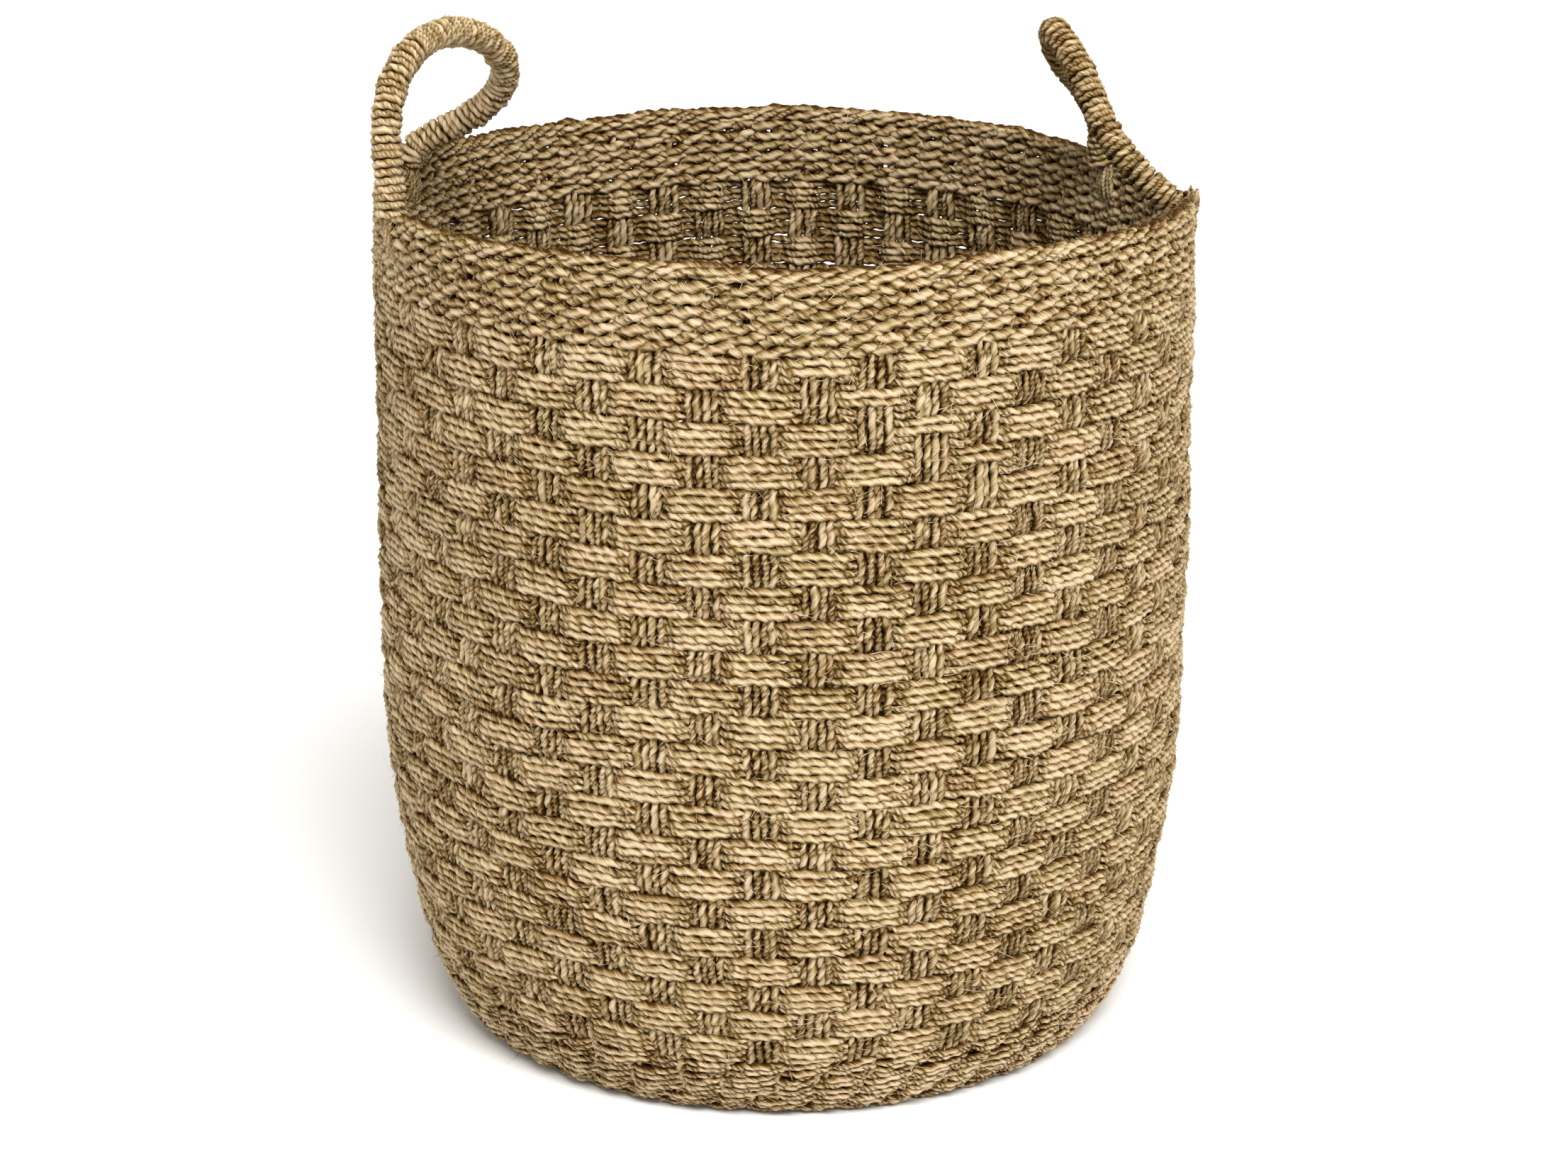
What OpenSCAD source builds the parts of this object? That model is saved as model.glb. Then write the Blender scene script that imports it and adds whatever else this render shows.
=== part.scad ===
// Round seagrass storage basket with two wrapped rope handles.
// Every weft band is one ring that passes outside and inside the upright
// stakes in turn. The bands lie between twined foot courses and a twined top
// with a rolled border. Lengths are in millimetres, +Z is up and the origin is
// the centre of the base on the floor.

/* [Basket] */
// Outer radius at the rim
rim_r = 225; // [215:1:235]
// Outer radius where the belly is widest
belly_r = 226.7; // [220:0.1:235]
// Radius of the flat underside
foot_r = 176; // [170:1:182]
// Height of the widest part of the belly
belly_h = 211.6; // [195:0.1:225]
// Height of the rim
rim_h = 474; // [468:1:480]
// Roundness of the heel: higher is squarer
heel_power = 1.875; // [1.7:0.005:2.1]
// Thickness of the woven wall, weft to weft
wall_t = 11.2; // [11:0.1:12]

/* [Weave] */
// Number of upright stakes
stake_n = 48; // [48:4:48]
// Direction of the first stake, degrees from the front
stake_turn = -3.1; // [-7:0.1:7]
// Width of a stake
stake_w = 15; // [10:0.5:15]
// Thickness of a stake
stake_t = 3; // [2:0.1:3.2]
// Space left between the stakes and what is woven round them
weave_gap = 0.6; // [0.5:0.05:1]
// Number of checker weft bands
band_n = 23; // [23:1:23]
// Height of the twined courses and the border together, along the wall
top_band = 43.3; // [40:0.1:46]
// Height of the foot below the lowest weft band, along the wall
foot_band = 49.7; // [46:0.1:52]
// Number of twined courses below the rim
twine_n = 6; // [6:1:6]
// Height of one twined course
twine_pitch = 6.2; // [5.6:0.1:6.2]
// Number of twined courses round the heel
heel_course_n = 5; // [4:1:6]
// Number of twined courses under the base
base_course_n = 6; // [4:1:6]
// Radius where the stakes start under the base
base_inner_r = 122; // [118:1:126]
// Height of the rolled border
border_h = 8.4; // [8:0.1:8.4]
// Space left between one course and the next
course_gap = 0.4; // [0.3:0.05:0.6]

/* [Handles] */
// Outer radius of a wrapped handle
handle_r = 8.4; // [6.5:0.1:8.6]
// Radius of the rope inside the wrapping
core_r = 5.2; // [4:0.1:5.4]
// Height of the line that a handle bends about
bend_h = 486; // [485.5:0.5:489]
// Width of the rope end that is woven into the rim
tail_w = 12; // [8:0.5:12]
// Depth that a rope end runs down into the rim
tail_h = 42; // [30:1:44]

/* [Hidden] */
straw = [0.76, 0.66, 0.45];
dark_straw = [0.60, 0.49, 0.31];
rope_tan = [0.70, 0.60, 0.41];

// Centre line of each handle, from its front foot over the loop to its back foot
left_loop = [
    [-206, -88, bend_h],
    [-208, -83, 512],
    [-207, -76, 530],
    [-202, -64, 546],
    [-192, -44, 557],
    [-178, -18, 559],
    [-163, 8, 551],
    [-154, 25, 537],
    [-155, 36, 523],
    [-163, 43, 511],
    [-177, 48, 500],
    [-194, 51, 493],
    [-209, 53, bend_h]
];
right_loop = [
    [217, 2, bend_h],
    [209, 3, 490.5],
    [199, 5, 491.5],
    [190, 8, 493],
    [182, 13, 498],
    [175, 19, 507],
    [168, 29, 522],
    [158, 44, 539],
    [150, 58, 547],
    [155, 77, 532],
    [166, 93, 515],
    [177, 102, 500],
    [184, 108, 493],
    [188, 112, bend_h]
];
// Directions of the gaps between stakes that hold the rope ends
tail_turn = [-66.85, -104.35, 90.65, 120.65];

pitch_a = 360 / stake_n;
half_wall = wall_t / 2;
ring_t = half_wall - stake_t / 2 - weave_gap;
wave_r = half_wall - ring_t / 2;
flat_a = 2.15;

// Outer line of the wall as [radius, height], from the floor up
heel_step = 1.5;
heel_line = [
    for (a = [0:heel_step:90])
        [
            foot_r + (belly_r - foot_r) * pow(sin(a), 2 / heel_power),
            belly_h * (1 - pow(cos(a), 2 / heel_power))
        ]
];
upper_step = (rim_h - belly_h) / 12;
upper_line = [
    for (i = [1:12])
        [belly_r + (rim_r - belly_r) * i / 12, belly_h + upper_step * i]
];
side_line = concat(heel_line, upper_line);

// Distance along that line at each of its points
side_last = len(side_line) - 1;
side_s = [
    for (
        i = 0, s = 0;
        i <= side_last;
        s = s + (i < side_last ? norm(side_line[i + 1] - side_line[i]) : 0), i = i + 1
    ) s
];
wall_len = side_s[side_last];
r_table = [for (i = [0:side_last]) [side_s[i], side_line[i][0]]];
z_table = [for (i = [0:side_last]) [side_s[i], side_line[i][1]]];

// Outer surface at distance s from the floor edge; negative s is under the base
function outer_at(s) = s <= 0 ? [foot_r + s, 0] : [lookup(s, r_table), lookup(s, z_table)];
function step_at(s) = outer_at(s + min(s, 2)) - outer_at(s - min(s, 2));
function along_at(s) = s <= 0 ? [1, 0] : step_at(s) / norm(step_at(s));
function normal_at(s) = [along_at(s)[1], -along_at(s)[0]];
// Point of the wall at distance s, moved out of its mid surface by off
function wall_at(s, off) = outer_at(s) + normal_at(s) * (off - half_wall);

// Direction of stake k, and a point at radius r in direction a
function stake_a(k) = stake_turn + k * pitch_a;
function around(rz, a) = [rz[0] * sin(a), -rz[0] * cos(a), rz[1]];
function around2(r, a) = [r * sin(a), -r * cos(a)];

// Distances along the wall of the course edges
band_top = wall_len - top_band;
band_h = (band_top - foot_band) / band_n;
function band_s(i) = band_top - i * band_h;

// +1 where a band runs outside stake k, -1 where it runs inside
function side_of(k, row) = ((k + row) % 2 == 0) ? 1 : -1;

// Ring with a four-sided section, given as sections[i][0..3]
module closed_ring(sections) {
    n = len(sections);
    points = [for (sec = sections, p = sec) p];
    faces = [
        for (i = [0:n - 1], j = [0:3])
            let (
                a = i * 4 + j,
                b = i * 4 + (j + 1) % 4,
                c = ((i + 1) % n) * 4 + (j + 1) % 4,
                d = ((i + 1) % n) * 4 + j
            )
            each [[a, b, c], [a, c, d]]
    ];
    polyhedron(points, faces, convexity = 6);
}

// Upright ring round all the stakes, outside them (+1) or inside them (-1)
module course_ring(s0, s1, side) {
    lo = stake_t / 2 + weave_gap;
    grow = 1 / cos(pitch_a / 2);
    s_in = s0 + course_gap / 2;
    s_out = s1 - course_gap / 2;
    sections = [
        for (k = [0:stake_n - 1])
            let (
                a = stake_a(k) + pitch_a / 2,
                p0 = wall_at(s_in, side * lo),
                p1 = wall_at(s_out, side * lo),
                p2 = wall_at(s_out, side * (lo + ring_t)),
                p3 = wall_at(s_in, side * (lo + ring_t))
            )
            [
                for (p = side > 0 ? [p0, p3, p2, p1] : [p0, p1, p2, p3])
                    around([p[0] * grow, p[1]], a)
            ]
    ];
    closed_ring(sections);
}

// Flat ring of height h, between two radii, with a corner in every step-th gap
module flat_ring(r0, r1, z, h, step = 1) {
    grow = 1 / cos(pitch_a * step / 2);
    turns = [for (k = [0:step:stake_n - 1]) stake_a(k) + pitch_a / 2];
    translate([0, 0, z])
    linear_extrude(height = h)
    difference() {
        polygon([for (a = turns) around2(r1 * grow, a)]);
        polygon([for (a = turns) around2(r0 * grow, a)]);
    }
}

// Two corners of a woven band at each stake, where it crosses outside or inside
function band_corners(row, off, r_at) = [
    for (k = [0:stake_n - 1], e = [-1, 1])
        around2(r_at + side_of(k, row) * wave_r + off, stake_a(k) + e * flat_a)
];

// Woven band of the straight part of the wall
module straight_band(row) {
    s1 = band_s(row - 1);
    s0 = band_s(row);
    r_mid = wall_at((s0 + s1) / 2, 0)[0];
    z0 = outer_at(s0)[1] + course_gap / 2;
    z1 = outer_at(s1)[1] - course_gap / 2;
    translate([0, 0, z0])
    linear_extrude(height = z1 - z0)
    difference() {
        polygon(band_corners(row, ring_t / 2, r_mid));
        polygon(band_corners(row, -ring_t / 2, r_mid));
    }
}

// Woven band of the curved heel, which leans with the wall
module leaning_band(row) {
    s1 = band_s(row - 1) - course_gap / 2;
    s0 = band_s(row) + course_gap / 2;
    sections = [
        for (k = [0:stake_n - 1], e = [-1, 1])
            let (
                a = stake_a(k) + e * flat_a,
                c = side_of(k, row) * wave_r,
                h = ring_t / 2
            )
            [
                around(wall_at(s0, c - h), a),
                around(wall_at(s0, c + h), a),
                around(wall_at(s1, c + h), a),
                around(wall_at(s1, c - h), a)
            ]
    ];
    closed_ring(sections);
}

first_leaning = 16;
module weft_band(row) {
    color(row % 2 == 0 ? straw : straw * 0.94)
    if (row < first_leaning) {
        straight_band(row);
    } else {
        leaning_band(row);
    }
}

// Stake: a flat strip that lies under the base, turns up and follows the wall
stake_low = base_inner_r - foot_r;
stake_top = wall_len - (rim_h - (rim_h - top_band + twine_n * twine_pitch));
stake_stops = concat(
    [stake_low, 0],
    [for (i = [1:6]) foot_band * i / 6],
    [for (i = [band_n - 2:-2:0]) band_s(i)],
    [stake_top]
);
module stake_strip() {
    rotate([90, 0, 0])
    translate([0, 0, -stake_w / 2])
    linear_extrude(height = stake_w)
    polygon(concat(
        [for (s = stake_stops) wall_at(s, stake_t / 2)],
        [for (i = [len(stake_stops) - 1:-1:0]) wall_at(stake_stops[i], -stake_t / 2)]
    ));
}
module stakes(first) {
    color(dark_straw)
    for (k = [first:2:stake_n - 1])
        rotate([0, 0, stake_a(k) - 90])
        stake_strip();
}

// Underside: a woven centre with twined rings round it
module base_centre() {
    color(straw)
    linear_extrude(height = wall_t)
    polygon([for (k = [0:stake_n - 1]) around2(base_inner_r - 1, stake_a(k) + pitch_a / 2)]);
}
module base_course(i) {
    shrink = cos(pitch_a);
    w = (foot_r * shrink - base_inner_r) / base_course_n;
    r0 = base_inner_r + (i - 1) * w + course_gap / 2;
    r1 = base_inner_r + i * w - (i == base_course_n ? 2 : course_gap / 2);
    color(dark_straw) {
        flat_ring(r0, r1, 0, ring_t, 2);
        flat_ring(r0, r1, wall_t - ring_t, ring_t, 2);
    }
}
module foot_course(i) {
    h = foot_band / heel_course_n;
    color(dark_straw) {
        course_ring((i - 1) * h, i * h, 1);
        course_ring((i - 1) * h, i * h, -1);
    }
}

// Top: twined courses, each one cord pair round the stakes, and the border
module twined_course(i) {
    z0 = rim_h - top_band + (twine_n - i) * twine_pitch;
    r_mid = wall_at(wall_len - 20, 0)[0];
    lo = stake_t / 2 + weave_gap;
    color(straw) {
        flat_ring(r_mid + lo, r_mid + half_wall, z0 + course_gap / 2, twine_pitch - course_gap);
        flat_ring(r_mid - half_wall, r_mid - lo, z0 + course_gap / 2, twine_pitch - course_gap);
    }
}
module rim_border() {
    r_mid = wall_at(wall_len - 20, 0)[0];
    z0 = rim_h - top_band + twine_n * twine_pitch + course_gap;
    color(straw)
    difference() {
        flat_ring(r_mid - half_wall, r_mid + half_wall, z0, border_h);
        for (a = tail_turn)
            rotate([0, 0, a - 90])
            translate([r_mid - 2, -tail_w / 2 - 0.5, z0 - 1])
            cube([4, tail_w + 1, border_h + 2]);
    }
}

// Rope end held between the inner and outer cords of the twined courses
module tail(i) {
    r_mid = wall_at(wall_len - 20, 0)[0];
    top = rim_h - top_band + twine_n * twine_pitch + course_gap + border_h + 0.4;
    color(rope_tan)
    rotate([0, 0, tail_turn[i] - 90])
    translate([r_mid - 1.3, -tail_w / 2, top - tail_h])
    cube([2.6, tail_w, tail_h]);
}

// Smooth path through the points of a handle
sub_n = 2;
function last_of(p) = p[len(p) - 1];
function knot(p, i) =
    i < 0 ? 2 * p[0] - p[1] : (i >= len(p) ? 2 * last_of(p) - p[len(p) - 2] : p[i]);
function curve(a, b, c, d, t) =
    b + (c - a) * t / 2
    + (2 * a - 5 * b + 4 * c - d) * pow(t, 2) / 2
    + (3 * b - a - 3 * c + d) * pow(t, 3) / 2;
function path_of(p) = concat(
    [
        for (i = [0:len(p) - 2], j = [0:sub_n - 1])
            curve(knot(p, i - 1), knot(p, i), knot(p, i + 1), knot(p, i + 2), j / sub_n)
    ],
    [p[len(p) - 1]]
);
function unit(v) = v / norm(v);
function tangent(c, i) = unit(c[min(i + 1, len(c) - 1)] - c[max(i - 1, 0)]);
function across(p) = unit(cross(p[len(p) - 1] - p[0], p[5] - p[0]));

// Rings of points round a path; ends is a list of [shift, radius] caps
tube_n = 8;
function ring_at(c, i, flat_n, r, shift) =
    let (
        t = tangent(c, i),
        u = unit(cross(flat_n, t)),
        v = cross(t, u)
    )
    [
        for (j = [0:tube_n - 1])
            c[i] + t * shift + r * (cos(360 * j / tube_n) * u + sin(360 * j / tube_n) * v)
    ];
module skin(rings, close) {
    n = len(rings);
    m = tube_n;
    points = [for (ring = rings, p = ring) p];
    last = close ? n - 1 : n - 2;
    sides = [
        for (i = [0:last], j = [0:m - 1])
            let (
                a = i * m + j,
                b = i * m + (j + 1) % m,
                c = ((i + 1) % n) * m + (j + 1) % m,
                d = ((i + 1) % n) * m + j
            )
            each [[a, c, b], [a, d, c]]
    ];
    caps = close ? [] : [
        [for (j = [0:m - 1]) j],
        [for (j = [m - 1:-1:0]) (n - 1) * m + j]
    ];
    polyhedron(points, concat(sides, caps), convexity = 8);
}

// Rope inside a handle, with rounded ends at the two feet
module handle_core(loop) {
    c = path_of(loop);
    n = len(c);
    w = across(loop);
    dome = [for (a = [75, 45, 20]) a];
    rings = concat(
        [for (a = dome) ring_at(c, 0, w, core_r * cos(a), -core_r * sin(a))],
        [for (i = [0:n - 1]) ring_at(c, i, w, core_r, 0)],
        [for (k = [2:-1:0]) ring_at(c, n - 1, w, core_r * cos(dome[k]), core_r * sin(dome[k]))]
    );
    color(rope_tan)
    skin(rings, false);
}

// Coiled cord round the rope, drawn as one sleeve
module handle_wrap(loop) {
    c = path_of(loop);
    n = len(c);
    w = across(loop);
    inner = core_r + 0.4;
    rings = concat(
        [for (i = [0:n - 1]) ring_at(c, i, w, handle_r, 0)],
        [for (i = [n - 1:-1:0]) ring_at(c, i, w, inner, 0)]
    );
    color(straw)
    skin(rings, true);
}

base_centre();
base_course(1);  // base_course_1
base_course(2);  // base_course_2
base_course(3);  // base_course_3
base_course(4);  // base_course_4
base_course(5);  // base_course_5
base_course(6);  // base_course_6
foot_course(1);  // foot_course_1
foot_course(2);  // foot_course_2
foot_course(3);  // foot_course_3
foot_course(4);  // foot_course_4
foot_course(5);  // foot_course_5
stakes(1);  // stakes_odd
stakes(0);  // stakes_even
weft_band(1);  // weft_band_01
weft_band(2);  // weft_band_02
weft_band(3);  // weft_band_03
weft_band(4);  // weft_band_04
weft_band(5);  // weft_band_05
weft_band(6);  // weft_band_06
weft_band(7);  // weft_band_07
weft_band(8);  // weft_band_08
weft_band(9);  // weft_band_09
weft_band(10);  // weft_band_10
weft_band(11);  // weft_band_11
weft_band(12);  // weft_band_12
weft_band(13);  // weft_band_13
weft_band(14);  // weft_band_14
weft_band(15);  // weft_band_15
weft_band(16);  // weft_band_16
weft_band(17);  // weft_band_17
weft_band(18);  // weft_band_18
weft_band(19);  // weft_band_19
weft_band(20);  // weft_band_20
weft_band(21);  // weft_band_21
weft_band(22);  // weft_band_22
weft_band(23);  // weft_band_23
twined_course(1);  // twined_course_1
twined_course(2);  // twined_course_2
twined_course(3);  // twined_course_3
twined_course(4);  // twined_course_4
twined_course(5);  // twined_course_5
twined_course(6);  // twined_course_6
rim_border();
tail(0);  // tail_left_front
tail(1);  // tail_left_back
tail(2);  // tail_right_front
tail(3);  // tail_right_back
handle_core(left_loop);  // handle_left_core
handle_wrap(left_loop);  // handle_left_wrap
handle_core(right_loop);  // handle_right_core
handle_wrap(right_loop);  // handle_right_wrap
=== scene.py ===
import bpy
import math
import numpy as np
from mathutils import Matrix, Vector


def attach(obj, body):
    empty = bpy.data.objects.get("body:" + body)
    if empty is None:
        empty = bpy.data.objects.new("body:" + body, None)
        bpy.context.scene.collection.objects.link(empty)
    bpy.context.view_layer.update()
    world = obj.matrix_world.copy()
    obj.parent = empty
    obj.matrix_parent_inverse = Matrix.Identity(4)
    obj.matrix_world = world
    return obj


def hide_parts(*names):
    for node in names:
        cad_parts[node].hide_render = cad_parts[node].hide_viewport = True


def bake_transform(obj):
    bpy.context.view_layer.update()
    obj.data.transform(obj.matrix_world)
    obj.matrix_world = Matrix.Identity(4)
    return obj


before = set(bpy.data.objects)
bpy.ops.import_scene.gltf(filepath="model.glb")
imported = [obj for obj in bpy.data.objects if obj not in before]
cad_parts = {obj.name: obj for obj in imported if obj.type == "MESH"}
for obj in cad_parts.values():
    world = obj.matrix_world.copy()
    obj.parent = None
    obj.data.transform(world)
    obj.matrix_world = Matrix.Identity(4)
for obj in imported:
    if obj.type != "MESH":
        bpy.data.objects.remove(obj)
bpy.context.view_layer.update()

# A seagrass basket in which every CAD node is replaced by twisted two-ply cords.
# Lengths are in millimetres until a mesh is made. phi is the angle round the
# basket from its front towards +X. s is the distance up the wall's outer line
# from the edge of the floor, and is negative under the floor. off is how far a
# cord stands outwards from the middle of the weave.
MM = 0.001
TAU = 2 * math.pi
rng = np.random.default_rng(20)

# ---------------------------------------------------------------- sizes
RIM_R, BELLY_R, FOOT_R, BASE_R = 225.0, 226.7, 176.0, 122.0
BELLY_H, RIM_H, HEEL_POWER = 211.6, 474.0, 1.875
WALL = 11.2
FLOOR_REACH = FOOT_R - BASE_R
CORD_R, CORD_STEP = 2.25, 2.43

STAKES, STAKE_WIDTH = 48, 19.0
PITCH = TAU / STAKES
STAKE_TURN = math.radians(-3.1)

BANDS, BAND_CORDS = 23, 4
TOP_H, TOP_COURSES, TOP_PITCH = 43.3, 6, 6.2
FOOT_H, FOOT_COURSES = 49.7, 5
FLOOR_COURSES = 6
PAIR_GAP = 2.1

# lowest mesh points above the floor plane
CORD_FLOOR, FIBRE_FLOOR = 0.1, 0.2

# the rim dips beside the right handle: where, how deep, how wide in degrees,
# and the stretch of wall below it that follows
SAG_AT, SAG_DEPTH, SAG_WIDTH = 108, 13.0, 34
SAG_FROM, SAG_RUN = 330, 140
RIM_WAVER = 1.2

# broad and fine unevenness of the wall, which fades out towards the floor
DENT_BROAD, DENT_FINE, DENT_FADE = 1.3, 0.8, 120


# ---------------------------------------------------------------- wall
def wall_profile():
    """Outer line of the wall, as distance, radius, height and the two parts of its normal."""
    angle = np.radians(np.linspace(0, 90, 181))
    radius = FOOT_R + (BELLY_R - FOOT_R) * np.sin(angle) ** (2 / HEEL_POWER)
    height = BELLY_H * (1 - np.cos(angle) ** (2 / HEEL_POWER))
    part = np.linspace(0, 1, 60)[1:]
    radius = np.append(radius, BELLY_R + (RIM_R - BELLY_R) * part)
    height = np.append(height, BELLY_H + (RIM_H - BELLY_H) * part)
    s = np.append(0, np.cumsum(np.hypot(np.diff(radius), np.diff(height))))
    even = np.linspace(0, s[-1], 900)
    radius, height = np.interp(even, s, radius), np.interp(even, s, height)
    window = np.ones(9) / 9
    slopes = np.gradient(height, even), -np.gradient(radius, even)
    normal = [np.convolve(np.pad(slope, 4, "edge"), window, "valid") for slope in slopes]
    out, up = normal / np.hypot(*normal)
    out[0], up[0] = 0, -1
    under = np.linspace(-FOOT_R, -0.5, 90)
    flat = np.zeros(len(under))
    return (
        np.append(under, even),
        np.append(FOOT_R + under, radius),
        np.append(flat, height),
        np.append(flat, out),
        np.append(flat - 1, up),
    )


PROFILE = wall_profile()
WALL_LEN = PROFILE[0][-1]
BAND_TOP = WALL_LEN - TOP_H
BAND_H = (BAND_TOP - FOOT_H) / BANDS


def waves(seed, count, low, high):
    """Smooth noise of an angle as a list of sines: whole number of turns, phase, weight."""
    g = np.random.default_rng(seed)
    return [
        (int(g.integers(low, high)), g.uniform(0, TAU), g.uniform(0.4, 1))
        for _ in range(count)
    ]


def wobble(terms, phi):
    """Value of such noise at phi, mostly between -1 and 1."""
    total = sum(weight * np.sin(turns * phi + phase) for turns, phase, weight in terms)
    return total / math.sqrt(sum(weight * weight for _, _, weight in terms)) * 0.8


SHAPE_WAVES = [waves(300 + i, 4, 2, 9) for i in range(3)]


def dent(phi, s):
    broad = DENT_BROAD * wobble(SHAPE_WAVES[0], phi) * np.cos(s / 90)
    broad = broad + DENT_BROAD * wobble(SHAPE_WAVES[1], phi) * np.sin(s / 70)
    fine = DENT_FINE * wobble(SHAPE_WAVES[2], phi + 1) * np.sin(s / 21)
    return np.clip(s / DENT_FADE, 0, 1) * (broad + fine)


def rim_sag(phi):
    """How far the rim lies above its level, by direction."""
    away = (np.degrees(phi) - SAG_AT + 180) % 360 - 180
    dip = -SAG_DEPTH * np.exp(-((away / SAG_WIDTH) ** 2))
    return dip + RIM_WAVER * wobble(SHAPE_WAVES[2], phi)


def wall(phi, s, off):
    """Points of the weave and their outward normals."""
    phi, s, off = np.broadcast_arrays(np.asarray(phi, float), s, off)
    radius, height, out, up = (np.interp(s, PROFILE[0], line) for line in PROFILE[1:])
    height = height + np.clip(s - WALL_LEN, 0, None)
    away = off - WALL / 2
    follow = np.clip((s - SAG_FROM) / SAG_RUN, 0, 1) ** 1.5
    radius = radius + out * away + dent(phi, s)
    height = height + up * away + rim_sag(phi) * follow
    points = np.stack([radius * np.sin(phi), -radius * np.cos(phi), height], -1)
    normals = np.stack([out * np.sin(phi), -out * np.cos(phi), up], -1)
    return points, normals


def middle_radius(s):
    """Radius of the middle of the weave."""
    return np.interp(s, PROFILE[0], PROFILE[1]) - WALL / 2


# ---------------------------------------------------------------- cord meshes
# radius of each corner of a cord's section: two plies, each one crown and a side
LOBES = np.array([1.0, 0.77, 0.77] * 2)
COIL_LOBES = np.array([1.0, 0.81, 0.81] * 2)
ROUND_LOBES = np.ones(10)
LOBE_LOW, LOBE_SPAN = 0.70, 0.30
# depth over which painted shade darkens a cord's colour as it lies deeper, and how much that and its
# facing count
SHADE_START, SHADE_DEPTH, DEPTH_SHARE, FACING_SHARE = 1.0, 5.5, 0.40, 0.60


def side_directions(points, normals, closed):
    """Two directions across a path, the first as near as can be to the given normals."""
    if closed:
        tangent = np.roll(points, -1, 0) - np.roll(points, 1, 0)
    else:
        tangent = np.gradient(points, axis=0)
    tangent /= np.linalg.norm(tangent, axis=1, keepdims=True) + 1e-12
    first = normals - tangent * (normals * tangent).sum(1, keepdims=True)
    first /= np.linalg.norm(first, axis=1, keepdims=True) + 1e-12
    return first, np.cross(tangent, first)


def section_faces(rings, closed):
    """Quads round a cord, and over its two ends when it is open."""
    here, after = (rings, np.roll(rings, -1, 0)) if closed else (rings[:-1], rings[1:])
    quads = [here, np.roll(here, -1, 1), np.roll(after, -1, 1), after]
    faces = [np.stack(quads, -1).reshape(-1, 4)]
    if closed:
        return faces
    sides = rings.shape[1]
    for row, flip in ((rings[0], True), (rings[-1], False)):
        for k in range(sides // 2 - 1):
            quad = [row[k], row[k + 1], row[sides - 2 - k], row[sides - 1 - k]]
            faces.append(np.array([quad[::-1] if flip else quad]))
    return faces


class Rope:
    """Gathers cords and turns them into one mesh."""

    def __init__(self):
        self.verts, self.faces, self.lay, self.look = [], [], [], []
        self.count = 0

    def cord(self, points, normals, depth, r=CORD_R, closed=False, lobes=LOBES, twist=1, taper=0):
        """Adds a cord. depth is its off at each point, for the shade painted into its colour."""
        count, sides = len(points), len(lobes)
        corner = np.arange(sides) * TAU / sides
        first, second = side_directions(points, normals, closed)
        start = rng.uniform(0, TAU)
        if closed:
            # a closed cord only meets itself on a whole step of its twist
            start = rng.integers(0, sides) * TAU / sides
        turn = (twist * np.arange(count) * TAU / sides + start)[:, None] + corner
        s = np.append(0, np.cumsum(np.linalg.norm(np.diff(points, axis=0), axis=1)))
        phase = rng.uniform(0, TAU, 3)
        radius = r * (1 + 0.06 * np.sin(s / 9 + phase[0]) + 0.06 * np.sin(s / 3.7 + phase[1]))
        if taper:
            from_end = np.minimum(s, s[-1] - s) / taper
            radius = radius * np.clip(0.35 + 0.65 * from_end, 0.35, 1)
        reach = radius[:, None] * lobes
        out = np.cos(turn)[..., None] * first[:, None] + np.sin(turn)[..., None] * second[:, None]
        self.verts.append((points[:, None] + reach[..., None] * out).reshape(-1, 3))
        rings = self.count + np.arange(count * sides).reshape(count, sides)
        self.faces += section_faces(rings, closed)
        self.count += count * sides

        # lay: a straight copy of the cord, for grain that runs along it
        lay = np.empty((count, sides, 3))
        lay[..., 0] = (s * MM + rng.uniform(0, 40))[:, None]
        lay[..., 1] = np.cos(corner) * r * MM
        lay[..., 2] = np.sin(corner) * r * MM
        self.lay.append(lay.reshape(-1, 3))

        # look: tone along the cord, a painted highlight on the crown of each ply, and painted shade
        # by depth and facing
        tone = rng.uniform(0, 1) + 0.16 * np.sin(s / 31 + phase[2]) + 0.10 * np.sin(s / 12 + phase[0])
        # painted shade: cord faces that lie deep in the weave or face sideways get a darker colour
        height = np.abs(depth[:, None] + reach * np.cos(turn))
        painted_light = DEPTH_SHARE * np.clip((height + SHADE_START) / SHADE_DEPTH, 0, 1)
        painted_light = painted_light + FACING_SHARE * np.abs(np.cos(turn)) ** 1.3
        look = np.ones((count, sides, 4))
        look[..., 0] = np.clip(tone, 0, 1)[:, None]
        # painted highlight on the ply crowns, painted shade in the grooves between the plies
        look[..., 1] = np.clip((lobes - LOBE_LOW) / LOBE_SPAN, 0, 1)
        look[..., 2] = np.clip(painted_light, 0, 1)
        self.look.append(look.reshape(-1, 4))

    def build(self, name, material):
        verts = np.concatenate(self.verts) * MM
        verts[:, 2] = np.maximum(verts[:, 2], CORD_FLOOR * MM)
        lay, look = np.concatenate(self.lay), np.concatenate(self.look)
        return mesh_object(name, verts, np.concatenate(self.faces), material, lay, look)


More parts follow.
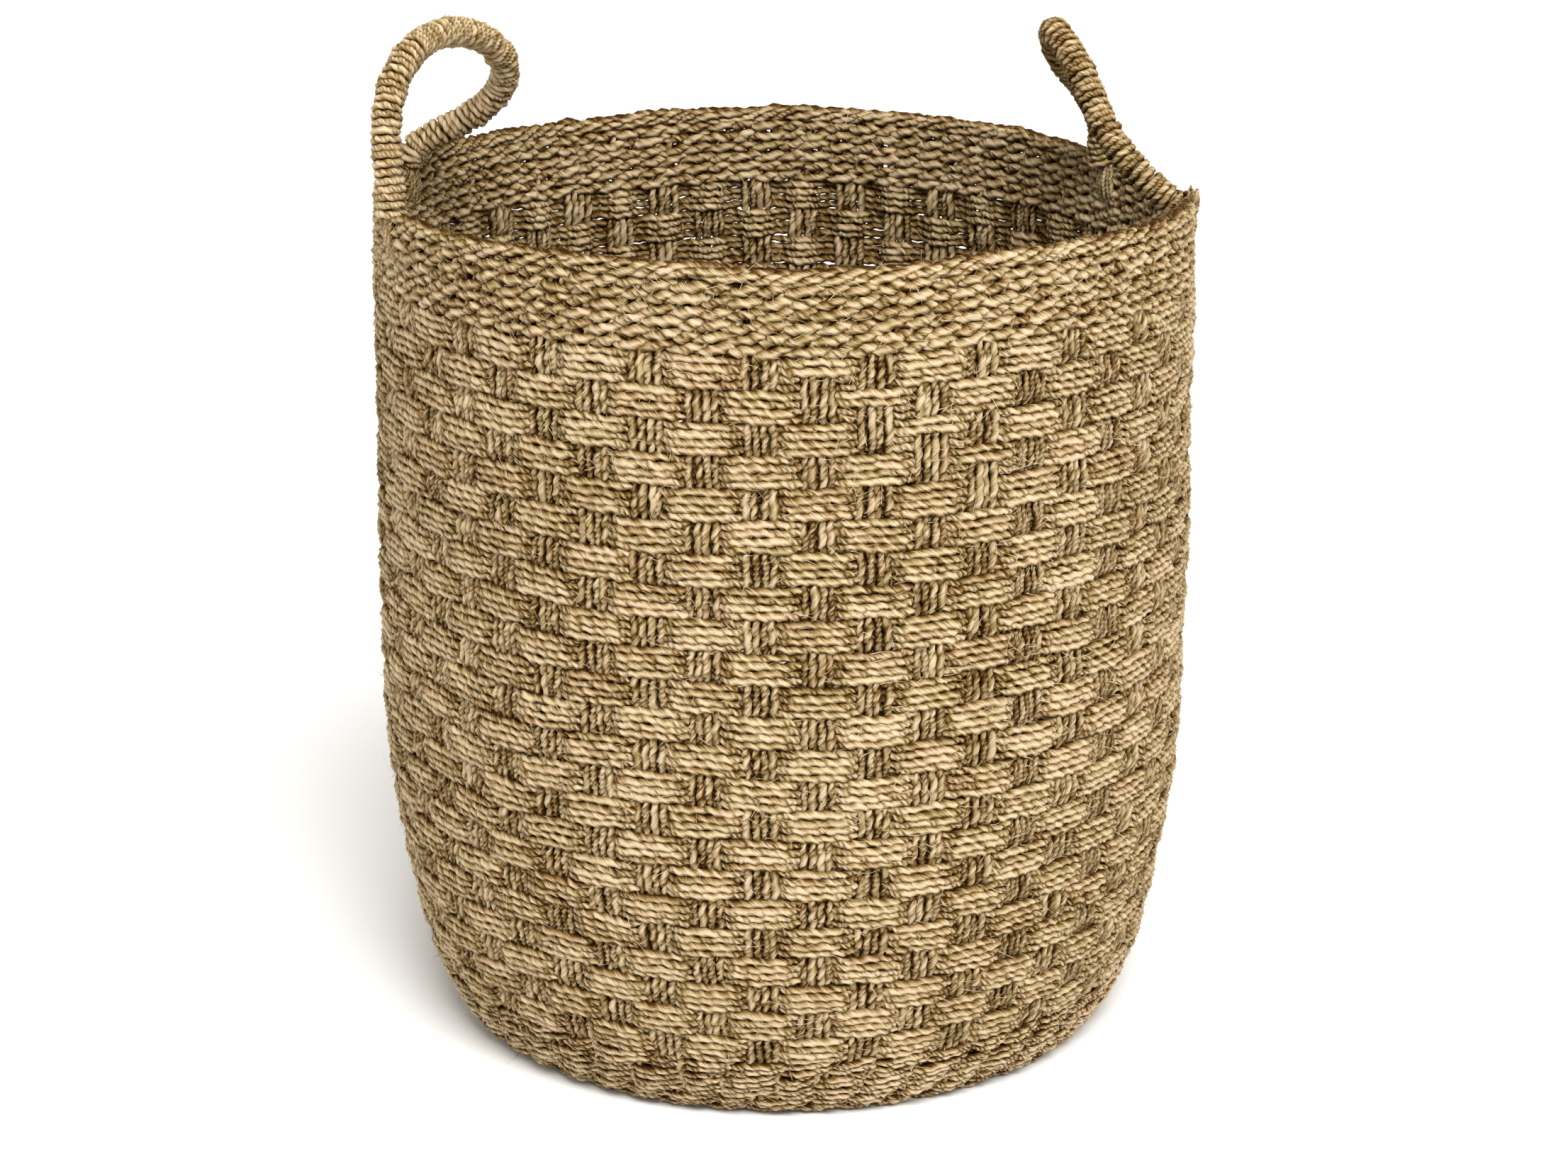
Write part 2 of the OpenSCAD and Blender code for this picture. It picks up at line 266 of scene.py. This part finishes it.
def mesh_object(name, verts, quads, material, lay=None, look=None):
    mesh = bpy.data.meshes.new(name)
    mesh.vertices.add(len(verts))
    mesh.vertices.foreach_set("co", verts.astype(np.float32).ravel())
    mesh.loops.add(quads.size)
    mesh.loops.foreach_set("vertex_index", quads.astype(np.int32).ravel())
    mesh.polygons.add(len(quads))
    mesh.polygons.foreach_set("loop_start", np.arange(0, quads.size, 4, dtype=np.int32))
    if lay is not None:
        layer = mesh.attributes.new("lay", "FLOAT_VECTOR", "POINT")
        layer.data.foreach_set("vector", lay.astype(np.float32).ravel())
    if look is not None:
        layer = mesh.attributes.new("look", "FLOAT_COLOR", "POINT")
        layer.data.foreach_set("color", look.astype(np.float32).ravel())
    mesh.update(calc_edges=True)
    mesh.validate()
    mesh.polygons.foreach_set("use_smooth", np.ones(len(mesh.polygons), bool))
    mesh.materials.append(material)
    obj = bpy.data.objects.new(name, mesh)
    bpy.context.scene.collection.objects.link(obj)
    return obj


def resample(points, step, multiple, *extra):
    """Even spacing along a path in a multiple of steps; gives the points and all extras."""
    at = np.append(0, np.cumsum(np.linalg.norm(np.diff(points, axis=0), axis=1)))
    count = max(int(round(at[-1] / step / multiple)) * multiple, 4) + 1
    even = np.linspace(0, at[-1], count)

    def carry(values):
        if values.ndim == 1:
            return np.interp(even, at, values)
        return np.stack([np.interp(even, at, column) for column in values.T], -1)

    return [carry(values) for values in (points, *extra)]


def all_round():
    """Angles once round the basket, from a random start."""
    return rng.uniform(0, TAU) + np.linspace(0, TAU, 2305)


def wall_path(phi, s, off, step, multiple=1):
    """Evenly spaced points on the wall, with their normals and off."""
    points, normals = wall(phi, s, off)
    return resample(points, step, multiple, normals, off)


def ring(rope, phi, s, off, r=CORD_R, step=CORD_STEP):
    """A closed cord round the basket."""
    points, normals, off = wall_path(phi, s, off, step, len(LOBES))
    rope.cord(points[:-1], normals[:-1], off[:-1], r=r, closed=True)


# ---------------------------------------------------------------- materials
# colours of dry seagrass, from painted shade in the hollows to a painted highlight on the crowns
STRAW_AND_SHADE = (
    (0.0, (0.060, 0.0195, 0.0033)),
    (0.22, (0.158, 0.079, 0.0125)),
    (0.48, (0.368, 0.240, 0.092)),
    (0.76, (0.642, 0.476, 0.272)),
    (1.0, (0.923, 0.719, 0.479)),
)
GREEN, PINK = (0.94, 0.985, 0.90, 1), (0.99, 0.94, 0.93, 1)
# weight of the painted shade in the hollows
HOLLOW_SHADE = 1.35


class Shader:
    """A new material, with short calls for its nodes."""

    def __init__(self, name):
        self.material = bpy.data.materials.new(name)
        self.material.use_nodes = True
        self.tree = self.material.node_tree
        self.tree.nodes.clear()

    def node(self, kind, inputs=(), **settings):
        made = self.tree.nodes.new(kind)
        for key, value in settings.items():
            setattr(made, key, value)
        for key, value in dict(inputs).items():
            if isinstance(value, bpy.types.NodeSocket):
                self.tree.links.new(value, made.inputs[key])
            else:
                made.inputs[key].default_value = value
        return made

    def maths(self, operation, a, b, clamp=False):
        inputs = {0: a, 1: b}
        return self.node("ShaderNodeMath", inputs, operation=operation, use_clamp=clamp).outputs[0]

    def noise(self, vector, scale=1.0, detail=1.0, roughness=0.5):
        inputs = {"Vector": vector, "Scale": scale, "Detail": detail, "Roughness": roughness}
        return self.node("ShaderNodeTexNoise", inputs).outputs["Fac"]

    def stretch(self, vector, scale, shift=(0, 0, 0)):
        inputs = {"Vector": vector, "Scale": scale, "Location": shift}
        return self.node("ShaderNodeMapping", inputs).outputs[0]

    def tinted(self, colour, amount, tint):
        inputs = {"Factor": amount, "A": colour, "B": tint}
        mix = self.node("ShaderNodeMix", inputs, data_type="RGBA", blend_type="MULTIPLY")
        return mix.outputs["Result"]

    def straw(self, value, shade):
        ramp = self.node("ShaderNodeValToRGB", {0: value})
        stops = ramp.color_ramp.elements
        for at, _ in STRAW_AND_SHADE[1:-1]:
            stops.new(at)
        for stop, (_, rgb) in zip(stops, STRAW_AND_SHADE):
            stop.color = (*(part * shade for part in rgb), 1)
        return ramp.outputs[0]


def material(name, shade=0.69, streak=0.62, hollow_shade=HOLLOW_SHADE):
    """Twisted seagrass streaked along the lay, with painted shade in the hollows and a painted
    highlight on the crowns.
    """
    kit = Shader(name)
    lay = kit.node("ShaderNodeAttribute", attribute_name="lay").outputs["Vector"]
    look = kit.node("ShaderNodeAttribute", attribute_name="look").outputs["Color"]
    tone, crown, painted_light = kit.node("ShaderNodeSeparateColor", {0: look}).outputs
    place = kit.node("ShaderNodeTexCoord").outputs["Object"]
    fibre = kit.noise(kit.stretch(lay, (150, 1500, 1500)), detail=3.0, roughness=0.6)
    patch = kit.noise(kit.stretch(lay, (45, 260, 260)), detail=2.0)
    area = kit.noise(place, scale=14.0, detail=3.0, roughness=0.55)

    # fibre, patch, tone and area give the straw's own colour; the crown term is a painted highlight
    # on the ply crowns and the last term painted shade in the hollows
    level = None
    for value, middle, weight in (
        (fibre, 0.5, streak * 2.6),
        (patch, 0.5, 1.1),
        (tone, 0.5, 0.26),
        (area, 0.5, 0.5),
        (crown, 0, 0.32),
        (painted_light, 0, hollow_shade),
    ):
        if middle:
            value = kit.maths("SUBTRACT", value, middle)
        value = kit.maths("MULTIPLY", value, weight)
        level = value if level is None else kit.maths("ADD", level, value)
    # stronger painted shade in the hollows keeps the same middle brightness
    level = kit.maths("SUBTRACT", level, 0.61 + 0.75 * (hollow_shade - HOLLOW_SHADE), clamp=True)

    hue = kit.noise(kit.stretch(lay, (12, 90, 90), (7.3, 2.1, 5.5)))
    green = kit.maths("MULTIPLY", kit.maths("SUBTRACT", hue, 0.45), 4.0, clamp=True)
    pink = kit.maths("MULTIPLY", kit.maths("SUBTRACT", 0.46, hue), 5.0, clamp=True)
    colour = kit.tinted(kit.straw(level, shade), green, GREEN)
    colour = kit.tinted(colour, pink, PINK)
    bump = kit.node("ShaderNodeBump", {"Height": fibre, "Strength": 0.75, "Distance": 0.0006})
    surface = {
        "Base Color": colour,
        "Normal": bump.outputs[0],
        "Roughness": 0.88,
        "Specular IOR Level": 0.1,
    }
    bsdf = kit.node("ShaderNodeBsdfPrincipled", surface)
    kit.node("ShaderNodeOutputMaterial", {0: bsdf.outputs[0]})
    return kit.material


WEFT = material("weft_cord", hollow_shade=1.55)
# the stakes' straw is darker than the weft's: painted shade of the stake cells, which lie deeper in
# the weave
STAKE = material("stake_cord", shade=0.63)
TWINE = material("twined_cord", hollow_shade=1.5)
BASE = material("base_cord", shade=0.69, streak=0.85, hollow_shade=2.2)
WRAP = material("handle_wrap_cord", shade=0.76, streak=0.45)
CORE = material("handle_rope", shade=0.4)


def piece(rope, name, mat, nodes):
    """One mesh on the basket that stands for the given CAD nodes."""
    obj = rope.build(name, mat)
    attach(obj, "basket")
    if nodes:
        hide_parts(*nodes)


# ---------------------------------------------------------------- checker weft and stakes
# how far a band stands out from the middle, and where, from a stake's middle,
# it begins and ends its dive behind the stake
WEFT_SWING, DIVE_START, DIVE_END = 2.8, 13.6, 4.6
CORD_WAVER, CORD_SWELL, BUNCH = 0.52, 0.5, 0.16
ROW_SWING, ROW_WAVER = 1.5, 0.3
STAKE_SWING, STAKE_DRIFT, STAKE_WAVER = 1.7, 0.6, 0.3
ROW_DRIFT = [waves(90 + i, 5, 2, 15) for i in range(2)]
# cells, by band and stake, where the stake shows over two bands
TALL = {(1, 1), (2, 2), (3, 3), (4, 4)}


def ease(t):
    """From 0 to 1 with a soft start and end."""
    t = np.clip(t, 0, 1)
    return t * t * (3 - 2 * t)


def stake_at(phi):
    """Number of the nearest stake and the angle from it."""
    turn = (phi - STAKE_TURN) / PITCH
    number = np.round(turn)
    return number.astype(int), (turn - number) * PITCH


def weft_side(stake, row, cord):
    """+1 where the cord passes outside the stake, -1 where it passes inside."""
    side = np.where((stake + row) % 2 == 0, 1.0, -1.0)
    for tall_row, tall_stake in TALL:
        if tall_row == row and cord >= BAND_CORDS // 2:
            side = np.where(stake % STAKES == tall_stake, -1.0, side)
    return side


def weft_off(phi, row, cord, radius):
    """Off of a weft cord, which dives wherever a stake passes outside it."""
    stake, away = stake_at(phi)
    rise = ease((np.abs(away) * radius - DIVE_END) / (DIVE_START - DIVE_END))
    return WEFT_SWING * np.where(weft_side(stake, row, cord) > 0, 1.0, 2 * rise - 1)


def row_shift(row, phi):
    """Unevenness of a band's height, which changes slowly from band to band."""
    swing = row * 0.5
    drift = np.cos(swing) * wobble(ROW_DRIFT[0], phi) + np.sin(swing) * wobble(ROW_DRIFT[1], phi)
    ends = np.sin(math.pi * row / (BANDS + 1)) ** 0.5
    return ROW_SWING * ends * drift + ROW_WAVER * wobble(waves(40 + row, 5, 6, 40), phi)


def make_weft(row):
    """One band of four cords."""
    rope = Rope()
    middle = BAND_TOP - (row - 0.5) * BAND_H
    radius = middle_radius(middle)
    for cord in range(BAND_CORDS):
        rise = waves(1000 + row * 10 + cord, 8, 8, 90)
        swell = waves(5000 + row * 10 + cord, 8, 10, 110)
        r = CORD_R * rng.uniform(1.20, 1.34)
        phi = all_round()
        place = (BAND_CORDS - 1) / 2 - cord
        # the cords draw together between the stakes
        _, away = stake_at(phi)
        between = (1 - np.cos(away / PITCH * TAU)) / 2
        s = middle + place * BAND_H / BAND_CORDS + row_shift(row, phi)
        s = s + CORD_WAVER * wobble(rise, phi) - place * BUNCH * between
        # the middle cords stand a little prouder than the edges
        crown = 0.35 if abs(place) < 1 else -0.25
        off = weft_off(phi, row, cord, radius)
        off = off + np.sign(off) * crown + CORD_SWELL * wobble(swell, phi)
        ring(rope, phi, s, off, r)
    name = "weft_band_%02d" % row
    piece(rope, name + "_cords", WEFT, [name])


def weave_of_stake(stake, row):
    """+1 where the weft is outside the stake, -1 where inside, easing between the bands."""
    at, level = [-1.0], [0.0]
    for i in range(BANDS):
        here = 1.0 if (stake + i + 1) % 2 == 0 else -1.0
        if (i + 1, stake) in TALL:
            at += [i + 0.04, i + 0.22, i + 0.36, i + 0.5, i + 1.0]
            level += [0.0, 0.8, 0.0, -1.0, -1.0]
            continue
        if (i, stake) not in TALL:
            at.append(i)
            level.append(0.0)
        at += [i + 0.3, i + 0.7]
        level += [here, here]
    return np.interp(row, at + [BANDS, BANDS + 1], level + [0.0, 0.0])


def make_stakes(first, label):
    """Every fourth stake, as side by side cords from under the floor to the rim."""
    rope = Rope()
    for stake in range(first, STAKES, 4):
        g = np.random.default_rng(7000 + stake)
        count = 5 if g.uniform() < 0.3 else 4
        gap = STAKE_WIDTH / count
        for cord in range(count):
            place = cord - (count - 1) / 2
            s = np.arange(1 - FLOOR_REACH, WALL_LEN - 8, 2.0)
            radius = middle_radius(s)
            drift = np.interp(s, np.linspace(-60, 500, 34), g.normal(0, STAKE_DRIFT, 34))
            squeeze = 1 - 0.10 * np.sin(s / BAND_H * math.pi + g.uniform(0, 3)) ** 2
            # under the floor the cords close up as the circle shrinks
            room = np.clip(radius * PITCH / STAKE_WIDTH, 0.3, 1)
            across = (place * gap * squeeze + drift) * room
            # in the twined top they spread out evenly
            top = np.clip((s - BAND_TOP) / 10, 0, 1)
            across = across * (1 - top) + place * PITCH * radius / count * top
            woven = np.clip((s - FOOT_H) / 8, 0, 1) * (1 - top)
            off = -STAKE_SWING * weave_of_stake(stake, (BAND_TOP - s) / BAND_H) * woven
            off = off + np.interp(s, np.linspace(-60, 500, 40), g.normal(0, STAKE_WAVER, 40))
            phi = STAKE_TURN + stake * PITCH + across / radius
            points, normals, off = wall_path(phi, s, off, 2.55)
            # depth sets the stakes' painted shade
            depth = off + 0.9 * np.sign(off)
            rope.cord(points, normals, depth, r=gap * 0.58 * g.uniform(0.96, 1.1))
    node_name = "stakes_odd" if first % 2 else "stakes_even"
    piece(rope, "stakes_" + label, STAKE, [node_name])


# ---------------------------------------------------------------- twined courses and border
BORDER_TURNS = 26


def make_top_course(index):
    """Two strands that swap sides round every stake."""
    rope = Rope()
    middle = BAND_TOP + (TOP_COURSES - index + 0.5) * TOP_PITCH
    rise = waves(2000 + index, 7, 5, 60)
    bend = waves(2100 + index, 7, 5, 50)
    for strand in (0, 1):
        phi = all_round()
        turn = (phi - STAKE_TURN - PITCH / 4) / PITCH * TAU + strand * math.pi
        turn = turn + 0.6 * wobble(bend, phi)
        s = middle + 1.35 * np.sin(turn) + 0.8 * wobble(rise, phi)
        off = 2.8 * np.cos(turn) + 0.4 * wobble(rise, phi + 1)
        ring(rope, phi, s, off, r=3.4)
    name = "twined_course_%d" % index
    piece(rope, name + "_cords", TWINE, [name])


def make_foot_course(index):
    """Two strands of two cords each, which swap sides round every second stake."""
    rope = Rope()
    middle = (index - 0.5) * FOOT_H / FOOT_COURSES
    rise = waves(2400 + index, 8, 5, 60)
    bend = waves(2450 + index, 8, 5, 44)
    lag = (0.0, 2.1, 4.4, 1.0, 3.4)[index - 1]
    for strand in (0, 1):
        for side in (-1, 1):
            own = waves(2500 + 10 * index + 3 * strand + side, 6, 9, 70)
            phi = all_round()
            turn = (phi - STAKE_TURN) / (2 * PITCH) * TAU + strand * math.pi + lag
            turn = turn + 0.5 * wobble(bend, phi)
            s = middle + side * PAIR_GAP + 1.7 * np.sin(turn)
            s = s + 0.7 * wobble(rise, phi) + 0.6 * wobble(own, phi)
            off = 2.6 * np.clip(1.3 * np.cos(turn), -1, 1) + 0.5 * wobble(own, phi + 1)
            ring(rope, phi, s, off, r=CORD_R * 1.18)
    name = "foot_course_%d" % index
    piece(rope, name + "_cords", BASE, [name])


def make_floor_course(index):
    """A course under the floor, laid like the foot's but more evenly."""
    rope = Rope()
    middle = (index - 0.5) * FLOOR_REACH / FLOOR_COURSES - FLOOR_REACH
    for strand in (0, 1):
        for side in (-1, 1):
            phi = all_round()
            turn = (phi - STAKE_TURN) / (2 * PITCH) * TAU + (strand + index % 2) * math.pi
            s = middle + side * PAIR_GAP + np.sin(turn)
            ring(rope, phi, s, 3.2 * np.clip(1.5 * np.cos(turn), -1, 1), step=3.0)
    name = "base_course_%d" % index
    piece(rope, name + "_cords", BASE, [name])


def make_centre():
    """Round mat of two crossing sets of bands, four cords to a band."""
    rope = Rope()
    reach, cell, gap = BASE_R - 1.5, 17.0, 4.2
    for axis in (0, 1):
        for band in range(-7, 8):
            for cord in range(4):
                across = band * cell + (cord - 1.5) * gap
                if abs(across) > reach - 3:
                    continue
                half = math.sqrt(reach**2 - across**2)
                along = np.arange(-half, half, 1.5)
                number = np.round(along / cell).astype(int)
                side = np.where((number + band + axis) % 2 == 0, 1.0, -1.0)
                cross = ease((np.abs(along / cell - number) - 0.25) / 0.5)
                off = 2.53 * side * (1 - 2 * cross)
                flat = [along, across + 0.35 * np.sin(along / 21 + cord + band)]
                if axis:
                    flat = flat[::-1]
                points = np.stack([*flat, WALL / 2 + off], -1)
                normals = np.tile([0.0, 0.0, 1.0], (len(points), 1))
                points, normals, off = resample(points, 3.0, 1, normals, off)
                rope.cord(points, normals, off * 1.3)
    piece(rope, "base_centre_mat", BASE, ["base_centre"])


def make_border():
    """Four strands that wind round the rim in long turns."""
    rope = Rope()
    bend = waves(2600, 6, 4, 30)
    rise = waves(2700, 6, 3, 30)
    for strand in range(4):
        own = waves(2800 + strand, 6, 9, 60)
        phi = all_round()
        turn = phi * BORDER_TURNS + strand * TAU / 4
        turn = turn + 0.8 * wobble(bend, phi) + 0.25 * wobble(own, phi)
        s = WALL_LEN - 2.6 + 2.9 * np.sin(turn)
        s = s + 0.8 * wobble(rise, phi) + 0.5 * wobble(own, phi + 2)
        ring(rope, phi, s, 3.1 * np.cos(turn), r=2.75)
    piece(rope, "rim_border_rope", TWINE, ["rim_border"])


# ---------------------------------------------------------------- handles
# points along the middle line of each handle, from one foot over the top to the other
ROUTE = {
    "left": [
        (-206, -88, 474), (-206, -88, 484), (-208, -83, 512), (-207, -76, 530),
        (-202, -64, 546), (-192, -44, 557), (-178, -18, 559), (-163, 8, 551),
        (-154, 25, 537), (-155, 36, 523), (-163, 43, 511), (-177, 48, 500),
        (-194, 51, 491), (-207, 53, 482), (-211, 54, 474),
    ],
    "right": [
        (223, 0, 453), (213, 1, 462), (200, 3, 473), (185, 9, 488), (174, 19, 505),
        (166, 31, 524), (157.5, 44, 539), (150, 58, 547), (154.5, 77, 532),
        (166, 93, 515), (177, 102, 499), (182, 108, 485), (183, 112, 470),
        (184, 113, 462),
    ],
}
HANDLE_SEED = {"left": 9100, "right": 9200}
ROPE_R, COIL_R, COIL_CORD_R, COIL_PITCH, TURN_POINTS = 5.7, 6.45, 2.35, 4.1, 22
# where each rope end runs down the wall, in degrees, and whether outside or inside
TAILS = {
    "left_front": (-66.85, 1),
    "left_back": (-104.35, -1),
    "right_front": (90.65, 1),
    "right_back": (120.65, -1),
}
RIM_CORD_R = 219


def smooth_route(points):
    """A smooth curve through the points, with a point every millimetre."""
    p = np.array(points, float)
    ends = np.vstack([2 * p[0] - p[1], p, 2 * p[-1] - p[-2]])
    t = np.linspace(0, 1, 24, endpoint=False)[:, None]
    curve = []
    for a, b, c, d in zip(ends, ends[1:], ends[2:], ends[3:]):
        bow = (2 * a - 5 * b + 4 * c - d) * t**2 + (3 * b - a - 3 * c + d) * t**3
        curve.append(0.5 * (2 * b + (c - a) * t + bow))
    return resample(np.vstack(curve + [p[-1:]]), 1.0, 1)[0]


def sides_along(line):
    """Two directions across a path that don't spin about it."""
    tangent = np.gradient(line, axis=0)
    tangent /= np.linalg.norm(tangent, axis=1, keepdims=True)
    first = np.zeros_like(line)
    first[0] = np.cross(tangent[0], [0.3, 1, 0.1])
    first[0] /= np.linalg.norm(first[0])
    for i in range(1, len(line)):
        carried = first[i - 1] - tangent[i] * (first[i - 1] @ tangent[i])
        first[i] = carried / np.linalg.norm(carried)
    return first, np.cross(tangent, first)


def make_handle(side):
    """A rope core and a tight coil of cord round it."""
    g = np.random.default_rng(HANDLE_SEED[side])
    line = smooth_route(ROUTE[side])
    first, second = sides_along(line)
    length = len(line) - 1.0
    core = Rope()
    thinned = line[::3]
    core.cord(thinned, first[::3], np.zeros(len(thinned)), r=ROPE_R, lobes=ROUND_LOBES, twist=0)

    def uneven(at, step, spread):
        knots = np.arange(0, length + 2 * step, step)
        return np.interp(at, knots, g.normal(0, spread, len(knots)))

    part = np.linspace(0, 1, int(length / COIL_PITCH * TURN_POINTS))
    at = part * length
    turn = part * (length / COIL_PITCH) * TAU
    place = np.clip(at + uneven(at, 6, 0.75) + 0.9 * np.sin(turn + 0.6), 0, length)
    radius = COIL_R + uneven(at, 4, 0.28)

    def carry(values):
        number = np.arange(len(line))
        return np.stack([np.interp(place, number, column) for column in values.T], -1)

    out = np.cos(turn)[:, None] * carry(first) + np.sin(turn)[:, None] * carry(second)
    points = carry(line) + radius[:, None] * out
    coil = Rope()
    depth = np.full(len(points), 3.5)
    coil.cord(points, out, depth, r=COIL_CORD_R, lobes=COIL_LOBES, taper=4)

    for obj, slot_name, node_name in (
        (coil.build("handle_%s_coil" % side, WRAP), "handle_wrap_cord", "handle_%s_wrap" % side),
        (core.build("handle_%s_rope" % side, CORE), "handle_rope", "handle_%s_core" % side),
    ):
        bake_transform(obj)
        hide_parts(node_name)


def make_tail(name):
    """Splayed rope ends that run from a handle's foot down through the twined top."""
    rope = Rope()
    g = np.random.default_rng(sum(map(ord, name)))
    degrees, outside = TAILS[name]
    for place in np.linspace(-1, 1, 6):
        s = np.linspace(WALL_LEN + 4, WALL_LEN - 34 + g.uniform(-6, 5), 30)
        down = (WALL_LEN + 4 - s) / 38
        across = place * (3.2 + 7.5 * down) + g.normal(0, 0.5)
        bulge = 4.6 * np.sin(np.clip(down * 1.25, 0, 1) * math.pi) * (0.6 + 0.4 * g.uniform())
        phi = math.radians(degrees) + across / RIM_CORD_R
        rope.cord(*wall_path(phi, s, outside * (2.0 + bulge), 2.4), r=1.9)
    piece(rope, "tail_%s_cords" % name, WRAP, ["tail_" + name])


# ---------------------------------------------------------------- loose ends and fibres
FIBRES, FIBRE_HALF_WIDTH, FIBRE_POINTS, FIBRE_OFF = 12000, 0.16, 4, 4.6


def make_loose_ends():
    """Cord ends that stand up and out where the right handle's front foot enters the rim."""
    rope = Rope()
    g = np.random.default_rng(61)
    for _ in range(9):
        phi = math.radians(TAILS["right_front"][0]) + g.normal(0.01, 0.035)
        s = np.linspace(WALL_LEN - 14, WALL_LEN + g.uniform(1, 7), 14)
        phi = phi + np.linspace(0, g.normal(0, 4), 14) / RIM_CORD_R
        off = np.linspace(3.0, g.uniform(5.0, 9.0), 14)
        rope.cord(*wall_path(phi, s, off, 2.2), r=1.8, taper=3)
    piece(rope, "rim_loose_ends", TWINE, [])


def make_fibres():
    """Thin curling strips that stand off both faces of the weave."""
    g = np.random.default_rng(77)
    phi = g.uniform(0, TAU, FIBRES)
    s = g.uniform(2, WALL_LEN + 2, FIBRES)
    face = np.where(g.uniform(size=FIBRES) < 0.25, -1, 1)
    root, normal = wall(phi, s, FIBRE_OFF * face)
    normal = normal * face[:, None]
    around = np.stack([np.cos(phi), np.sin(phi), np.zeros(FIBRES)], -1)
    up = np.cross(normal, around)
    turn = g.normal(0, 0.5, FIBRES)
    turn = turn + np.where(g.uniform(size=FIBRES) < 0.3, math.pi / 2, 0)
    along = around * np.cos(turn)[:, None] + up * np.sin(turn)[:, None]
    length = g.gamma(3.0, 2.1, FIBRES).clip(2, 17)
    lift = g.uniform(0.05, 0.5, FIBRES)
    curl = g.normal(0, 0.35, FIBRES)
    side = np.cross(normal, along)
    verts = np.zeros((FIBRES, FIBRE_POINTS, 2, 3))
    for i in range(FIBRE_POINTS):
        t = i / (FIBRE_POINTS - 1)
        spot = root + along * (length * t)[:, None]
        spot = spot + normal * (length * lift * t * (1.3 - 0.6 * t))[:, None]
        spot = spot + side * (length * curl * t * t)[:, None]
        width = FIBRE_HALF_WIDTH * (1 - 0.75 * t)
        verts[:, i, 0] = spot - side * width + normal * 0.03
        verts[:, i, 1] = spot + side * width
    n = np.arange(FIBRES * FIBRE_POINTS * 2).reshape(FIBRES, FIBRE_POINTS, 2)
    quads = np.stack([n[:, :-1, 0], n[:, 1:, 0], n[:, 1:, 1], n[:, :-1, 1]], -1).reshape(-1, 4)
    verts = verts.reshape(-1, 3) * MM
    verts[:, 2] = np.maximum(verts[:, 2], FIBRE_FLOOR * MM)
    lay, look = np.zeros((len(verts), 3)), np.ones((len(verts), 4))
    lay[:, 0] = np.repeat(g.uniform(0, 30, FIBRES), FIBRE_POINTS * 2)
    look[:, 0] = np.repeat(g.uniform(0.4, 1, FIBRES), FIBRE_POINTS * 2)
    # an even, mostly lit level of painted shade for every fibre
    look[:, 2] = 0.8
    obj = mesh_object("loose_fibres", verts, quads, WEFT, lay, look)
    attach(obj, "basket")


# ---------------------------------------------------------------- the basket
for number in range(1, BANDS + 1):
    make_weft(number)
for first, label in enumerate("abcd"):
    make_stakes(first, label)
for number in range(1, TOP_COURSES + 1):
    make_top_course(number)
    make_floor_course(number)
for number in range(1, FOOT_COURSES + 1):
    make_foot_course(number)
make_centre()
make_border()
make_handle("left")
make_handle("right")
for name in TAILS:
    make_tail(name)
make_loose_ends()
make_fibres()

# ---------------------------------------------------------------- stage, in metres
FLOOR_HALF = 9


def aim(obj, direction):
    """Turns a lamp to shine along a direction."""
    obj.rotation_euler = Vector(direction).to_track_quat("-Z", "Y").to_euler()
    bpy.context.scene.collection.objects.link(obj)


def area_lamp(name, place, target, size, watts):
    data = bpy.data.lights.new(name, "AREA")
    data.size = size
    data.energy = watts
    lamp = bpy.data.objects.new(name, data)
    lamp.location = place
    aim(lamp, Vector(target) - Vector(place))


paper = bpy.data.materials.new("floor_white")
paper.use_nodes = True
surface = paper.node_tree.nodes["Principled BSDF"]
surface.inputs["Base Color"].default_value = (0.93, 0.93, 0.93, 1)
surface.inputs["Roughness"].default_value = 0.9
surface.inputs["Specular IOR Level"].default_value = 0.1
corners = [(-1, -1, 0), (1, -1, 0), (1, 1, 0), (-1, 1, 0)]
floor = mesh_object("floor", FLOOR_HALF * np.array(corners, float), np.array([[0, 1, 2, 3]]), paper)

cam_data = bpy.data.cameras.new("camera")
cam_data.lens = 85.9
cam_data.sensor_width = 36.0
cam_data.clip_start = 0.05
cam_data.clip_end = 60
cam = bpy.data.objects.new("camera", cam_data)
cam.location = (0, -2.0192, 0.8759)
cam.rotation_euler = (math.radians(90 - 17.458), 0, 0)
bpy.context.scene.collection.objects.link(cam)
bpy.context.scene.camera = cam

area_lamp("key", (1.5, -2.3, 2.1), (0, 0, 0.28), 0.8, 36)
area_lamp("fill", (-2.2, -1.4, 1.5), (0, 0, 0.3), 1.2, 3)
sun_data = bpy.data.lights.new("daylight", "SUN")
sun_data.energy = 2.9
sun_data.angle = math.radians(24)
aim(bpy.data.objects.new("daylight", sun_data), (-0.16, 1.0, -1.15))

world = bpy.data.worlds.new("studio")
world.use_nodes = True
sky = world.node_tree.nodes["Background"]
sky.inputs["Color"].default_value = (1.0, 0.97, 0.91, 1)
sky.inputs["Strength"].default_value = 0.6
bpy.context.scene.world = world
bpy.context.scene.view_settings.view_transform = "Standard"
bpy.context.scene.view_settings.look = "None"

bpy.context.view_layer.update()
